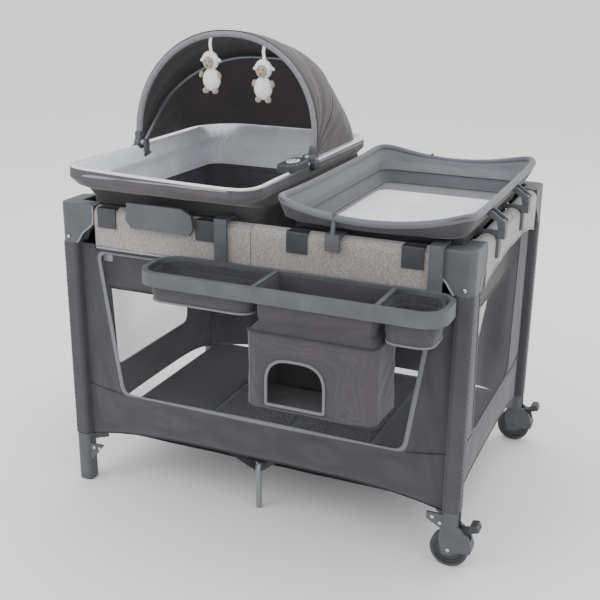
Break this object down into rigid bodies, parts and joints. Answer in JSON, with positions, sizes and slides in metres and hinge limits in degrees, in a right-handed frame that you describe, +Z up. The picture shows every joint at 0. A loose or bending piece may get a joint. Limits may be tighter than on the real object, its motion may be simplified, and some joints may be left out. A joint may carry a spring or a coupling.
{
  "type": "travel play yard",
  "caption": "Folding travel play yard with a rail-hung bassinet and canopy, a flip-away changing table and a front organizer with diaper stacker.",
  "frame": {"origin": "on the floor, under the middle of the yard between the four corner posts", "axes": "+Z up, front of the yard towards -Y, changing table towards +X"},
  "size_m": [1.05, 0.8979, 1.1185],
  "materials": {
    "frame_steel": "satin grey powder coat",
    "slate_plastic": "moulded, fine texture",
    "dark_plastic": "moulded, fine texture",
    "wheel_plastic": "moulded",
    "charcoal_cloth": "woven polyester",
    "heather_cloth": "heather weave",
    "grey_cloth": "woven polyester",
    "white_cloth": "soft knit",
    "plush": "plush",
    "white_plastic": "moulded"
  },
  "bodies": {
    "corner_fl": {"post_fl": "frame_steel", "corner_casting_fl": "slate_plastic", "foot_fl": "slate_plastic", "yard_walls": "charcoal_cloth", "rail_trim": "heather_cloth"},
    "corner_rl": {"post_rl": "frame_steel", "corner_casting_rl": "slate_plastic", "foot_rl": "slate_plastic"},
    "corner_fr": {"post_fr": "frame_steel", "corner_casting_fr": "slate_plastic", "wheel_housing_fr": "slate_plastic"},
    "wheel_fr": {"wheel_fr": "wheel_plastic"},
    "brake_pedal_fr": {"brake_pedal_fr": "dark_plastic"},
    "corner_rr": {"post_rr": "frame_steel", "corner_casting_rr": "slate_plastic", "wheel_housing_rr": "slate_plastic"},
    "wheel_rr": {"wheel_rr": "wheel_plastic"},
    "brake_pedal_rr": {"brake_pedal_rr": "dark_plastic"},
    "rail_front_l": {"rail_front_l": "frame_steel", "rail_saddles_l": "dark_plastic"},
    "rail_front_r": {"rail_front_r": "frame_steel", "rail_saddles_r": "dark_plastic"},
    "latch_button_front": {"latch_button_front": "dark_plastic"},
    "rail_rear_l": {"rail_rear_l": "frame_steel"},
    "rail_rear_r": {"rail_rear_r": "frame_steel"},
    "latch_button_rear": {"latch_button_rear": "dark_plastic"},
    "rail_left_f": {"rail_left_f": "frame_steel"},
    "rail_left_r": {"rail_left_r": "frame_steel"},
    "latch_button_left": {"latch_button_left": "dark_plastic"},
    "rail_right_f": {"rail_right_f": "frame_steel"},
    "rail_right_r": {"rail_right_r": "frame_steel"},
    "latch_button_right": {"latch_button_right": "dark_plastic"},
    "floor_tube_fl": {"floor_tube_fl": "frame_steel"},
    "floor_tube_fr": {"floor_tube_fr": "frame_steel"},
    "floor_tube_rl": {"floor_tube_rl": "frame_steel"},
    "floor_tube_rr": {"floor_tube_rr": "frame_steel"},
    "lift_hub": {"lift_hub": "dark_plastic"},
    "centre_leg_front": {"centre_leg_front": "frame_steel"},
    "centre_leg_rear": {"centre_leg_rear": "frame_steel"},
    "mattress": {"mattress": "charcoal_cloth"},
    "bassinet_insert": {"bassinet_insert": "charcoal_cloth"},
    "bassinet": {"bassinet_tub": "charcoal_cloth", "bassinet_frame": "frame_steel", "bassinet_pad": "white_cloth", "bassinet_fittings": "slate_plastic", "canopy_cloth": "charcoal_cloth", "music_unit": "dark_plastic"},
    "music_button": {"music_button": "white_plastic"},
    "canopy_front_hoop": {"canopy_front_hoop": "frame_steel"},
    "canopy_mid_hoop": {"canopy_mid_hoop": "frame_steel"},
    "toy_left": {"toy_left": "plush"},
    "toy_right": {"toy_right": "plush"},
    "changer_base": {"changer_rail_clips": "slate_plastic"},
    "changer": {"changer_tray": "grey_cloth", "changer_frame": "frame_steel", "changer_pad": "white_cloth", "changer_hooks": "slate_plastic"},
    "organizer": {"organizer_frame": "slate_plastic", "organizer_baskets": "charcoal_cloth", "diaper_stacker": "charcoal_cloth"}
  },
  "joints": [
    {"name": "frame_fold", "type": "hinge", "parent": "corner_fl", "child": "rail_front_l", "pos_m": [-0.432, -0.34, 0.718], "axis": [0, 1, 0], "range_deg": [0, 78], "deforming": ["yard_walls", "rail_trim", "mattress", "bassinet_insert"]},
    {"name": "front_rail_centre", "type": "hinge", "parent": "rail_front_l", "child": "rail_front_r", "pos_m": [0, -0.34, 0.718], "axis": [0, 1, 0], "range_deg": [-156, 0]},
    {"name": "front_rail_right_end", "type": "hinge", "parent": "rail_front_r", "child": "corner_fr", "pos_m": [0.432, -0.34, 0.718], "axis": [0, 1, 0], "range_deg": [0, 78]},
    {"name": "left_rail_front_end", "type": "hinge", "parent": "corner_fl", "child": "rail_left_f", "pos_m": [-0.482, -0.29, 0.718], "axis": [-1, 0, 0], "range_deg": [0, 78]},
    {"name": "left_rail_centre", "type": "hinge", "parent": "rail_left_f", "child": "rail_left_r", "pos_m": [-0.482, 0, 0.718], "axis": [-1, 0, 0], "range_deg": [-156, 0]},
    {"name": "left_rail_rear_end", "type": "hinge", "parent": "rail_left_r", "child": "corner_rl", "pos_m": [-0.482, 0.29, 0.718], "axis": [-1, 0, 0], "range_deg": [0, 78]},
    {"name": "right_rail_front_end", "type": "hinge", "parent": "corner_fr", "child": "rail_right_f", "pos_m": [0.482, -0.29, 0.718], "axis": [-1, 0, 0], "range_deg": [0, 78]},
    {"name": "right_rail_centre", "type": "hinge", "parent": "rail_right_f", "child": "rail_right_r", "pos_m": [0.482, 0, 0.718], "axis": [-1, 0, 0], "range_deg": [-156, 0]},
    {"name": "right_rail_rear_end", "type": "hinge", "parent": "rail_right_r", "child": "corner_rr", "pos_m": [0.482, 0.29, 0.718], "axis": [-1, 0, 0], "range_deg": [0, 78]},
    {"name": "rear_rail_left_end", "type": "hinge", "parent": "corner_rl", "child": "rail_rear_l", "pos_m": [-0.432, 0.34, 0.718], "axis": [0, 1, 0], "range_deg": [0, 78]},
    {"name": "rear_rail_right_end", "type": "hinge", "parent": "corner_rr", "child": "rail_rear_r", "pos_m": [0.432, 0.34, 0.718], "axis": [0, 1, 0], "range_deg": [-78, 0]},
    {"name": "floor_tube_fl_lift", "type": "hinge", "parent": "corner_fl", "child": "floor_tube_fl", "pos_m": [-0.45276, -0.30393, 0.122], "axis": [0.5574, -0.8303, 0], "range_deg": [0, 78]},
    {"name": "floor_tube_fr_lift", "type": "hinge", "parent": "corner_fr", "child": "floor_tube_fr", "pos_m": [0.45276, -0.30393, 0.122], "axis": [0.5574, 0.8303, 0], "range_deg": [0, 78]},
    {"name": "floor_tube_rl_lift", "type": "hinge", "parent": "corner_rl", "child": "floor_tube_rl", "pos_m": [-0.45276, 0.30393, 0.122], "axis": [-0.5574, -0.8303, 0], "range_deg": [0, 78]},
    {"name": "floor_tube_rr_lift", "type": "hinge", "parent": "corner_rr", "child": "floor_tube_rr", "pos_m": [0.45276, 0.30393, 0.122], "axis": [-0.5574, 0.8303, 0], "range_deg": [0, 78]},
    {"name": "hub_level", "type": "hinge", "parent": "floor_tube_fl", "child": "lift_hub", "pos_m": [-0.02076, -0.01393, 0.122], "axis": [0.5574, -0.8303, 0], "range_deg": [-78, 0]},
    {"name": "centre_leg_front_fold", "type": "hinge", "parent": "lift_hub", "child": "centre_leg_front", "pos_m": [-0.012, -0.034, 0.122], "axis": [1, 0, 0], "range_deg": [0, 85.8]},
    {"name": "centre_leg_rear_fold", "type": "hinge", "parent": "lift_hub", "child": "centre_leg_rear", "pos_m": [0.012, 0.034, 0.122], "axis": [-1, 0, 0], "range_deg": [0, 85.8]},
    {"name": "wheel_fr_spin", "type": "hinge", "parent": "corner_fr", "child": "wheel_fr", "pos_m": [0.482, -0.34, 0.044], "axis": [0, 1, 0], "continuous": true},
    {"name": "brake_pedal_fr_press", "type": "hinge", "parent": "corner_fr", "child": "brake_pedal_fr", "pos_m": [0.509, -0.34, 0.091], "axis": [0, 1, 0], "range_deg": [0, 16]},
    {"name": "wheel_rr_spin", "type": "hinge", "parent": "corner_rr", "child": "wheel_rr", "pos_m": [0.482, 0.34, 0.044], "axis": [0, 1, 0], "continuous": true},
    {"name": "brake_pedal_rr_press", "type": "hinge", "parent": "corner_rr", "child": "brake_pedal_rr", "pos_m": [0.509, 0.34, 0.091], "axis": [0, 1, 0], "range_deg": [0, 16]},
    {"name": "latch_button_front_press", "type": "slide", "parent": "rail_front_l", "child": "latch_button_front", "axis": [0, 0, 1], "range_m": [0, 0.004], "stiffness_N_per_m": 150, "springref_m": -0.004},
    {"name": "latch_button_rear_press", "type": "slide", "parent": "rail_rear_l", "child": "latch_button_rear", "axis": [0, 0, 1], "range_m": [0, 0.004], "stiffness_N_per_m": 150, "springref_m": -0.004},
    {"name": "latch_button_left_press", "type": "slide", "parent": "rail_left_f", "child": "latch_button_left", "axis": [0, 0, 1], "range_m": [0, 0.004], "stiffness_N_per_m": 150, "springref_m": -0.004},
    {"name": "latch_button_right_press", "type": "slide", "parent": "rail_right_f", "child": "latch_button_right", "axis": [0, 0, 1], "range_m": [0, 0.004], "stiffness_N_per_m": 150, "springref_m": -0.004},
    {"name": "mattress_lift", "type": "slide", "parent": "corner_fl", "child": "mattress", "axis": [0, 0, 1], "range_m": [0, 0.8791]},
    {"name": "bassinet_insert_lift", "type": "slide", "parent": "corner_fl", "child": "bassinet_insert", "axis": [0, 0, 1], "range_m": [0, 0.8791]},
    {"name": "bassinet_lift", "type": "slide", "parent": "corner_fl", "child": "bassinet", "axis": [0, 0, 1], "range_m": [0, 0.8791]},
    {"name": "changer_base_lift", "type": "slide", "parent": "corner_fl", "child": "changer_base", "axis": [0, 0, 1], "range_m": [0, 0.8791]},
    {"name": "organizer_lift", "type": "slide", "parent": "corner_fl", "child": "organizer", "axis": [0, 0, 1], "range_m": [0, 0.8791]},
    {"name": "canopy_fold", "type": "hinge", "parent": "bassinet", "child": "canopy_front_hoop", "pos_m": [-0.2215, -0.061, 0.832], "axis": [-1, 0, 0], "range_deg": [0, 60], "deforming": ["canopy_cloth"]},
    {"name": "canopy_mid_fold", "type": "hinge", "parent": "bassinet", "child": "canopy_mid_hoop", "pos_m": [-0.2215, -0.061, 0.832], "axis": [-1, 0, 0], "range_deg": [0, 30]},
    {"name": "toy_left_swing", "type": "hinge", "parent": "canopy_front_hoop", "child": "toy_left", "pos_m": [-0.272, -0.0236, 1.098], "axis": [1, 0, 0], "range_deg": [-25, 25]},
    {"name": "toy_right_swing", "type": "hinge", "parent": "canopy_front_hoop", "child": "toy_right", "pos_m": [-0.126, -0.0254, 1.0851], "axis": [1, 0, 0], "range_deg": [-25, 25]},
    {"name": "music_button_press", "type": "slide", "parent": "bassinet", "child": "music_button", "axis": [0, 0, -1], "range_m": [0, 0.001], "stiffness_N_per_m": 300, "springref_m": -0.002},
    {"name": "changer_flip", "type": "hinge", "parent": "changer_base", "child": "changer", "pos_m": [0.512, 0, 0.757], "axis": [0, 1, 0], "range_deg": [0, 210]}
  ],
  "couplings": [
    {"joint": "front_rail_centre", "follows": "frame_fold", "ratio": -2},
    {"joint": "front_rail_right_end", "follows": "frame_fold", "ratio": 1},
    {"joint": "left_rail_front_end", "follows": "frame_fold", "ratio": 1},
    {"joint": "left_rail_centre", "follows": "frame_fold", "ratio": -2},
    {"joint": "left_rail_rear_end", "follows": "frame_fold", "ratio": 1},
    {"joint": "right_rail_front_end", "follows": "frame_fold", "ratio": 1},
    {"joint": "right_rail_centre", "follows": "frame_fold", "ratio": -2},
    {"joint": "right_rail_rear_end", "follows": "frame_fold", "ratio": 1},
    {"joint": "rear_rail_left_end", "follows": "frame_fold", "ratio": 1},
    {"joint": "rear_rail_right_end", "follows": "frame_fold", "ratio": -1},
    {"joint": "floor_tube_fl_lift", "follows": "frame_fold", "ratio": 1},
    {"joint": "floor_tube_fr_lift", "follows": "frame_fold", "ratio": 1},
    {"joint": "floor_tube_rl_lift", "follows": "frame_fold", "ratio": 1},
    {"joint": "floor_tube_rr_lift", "follows": "frame_fold", "ratio": 1},
    {"joint": "hub_level", "follows": "frame_fold", "ratio": -1},
    {"joint": "centre_leg_front_fold", "follows": "frame_fold", "ratio": 1.1},
    {"joint": "centre_leg_rear_fold", "follows": "frame_fold", "ratio": 1.1},
    {"joint": "mattress_lift", "follows": "frame_fold", "m_per_rad": 0.645},
    {"joint": "bassinet_insert_lift", "follows": "frame_fold", "m_per_rad": 0.645},
    {"joint": "bassinet_lift", "follows": "frame_fold", "m_per_rad": 0.645},
    {"joint": "changer_base_lift", "follows": "frame_fold", "m_per_rad": 0.645},
    {"joint": "organizer_lift", "follows": "frame_fold", "m_per_rad": 0.645},
    {"joint": "canopy_mid_fold", "follows": "canopy_fold", "ratio": 0.5}
  ]
}
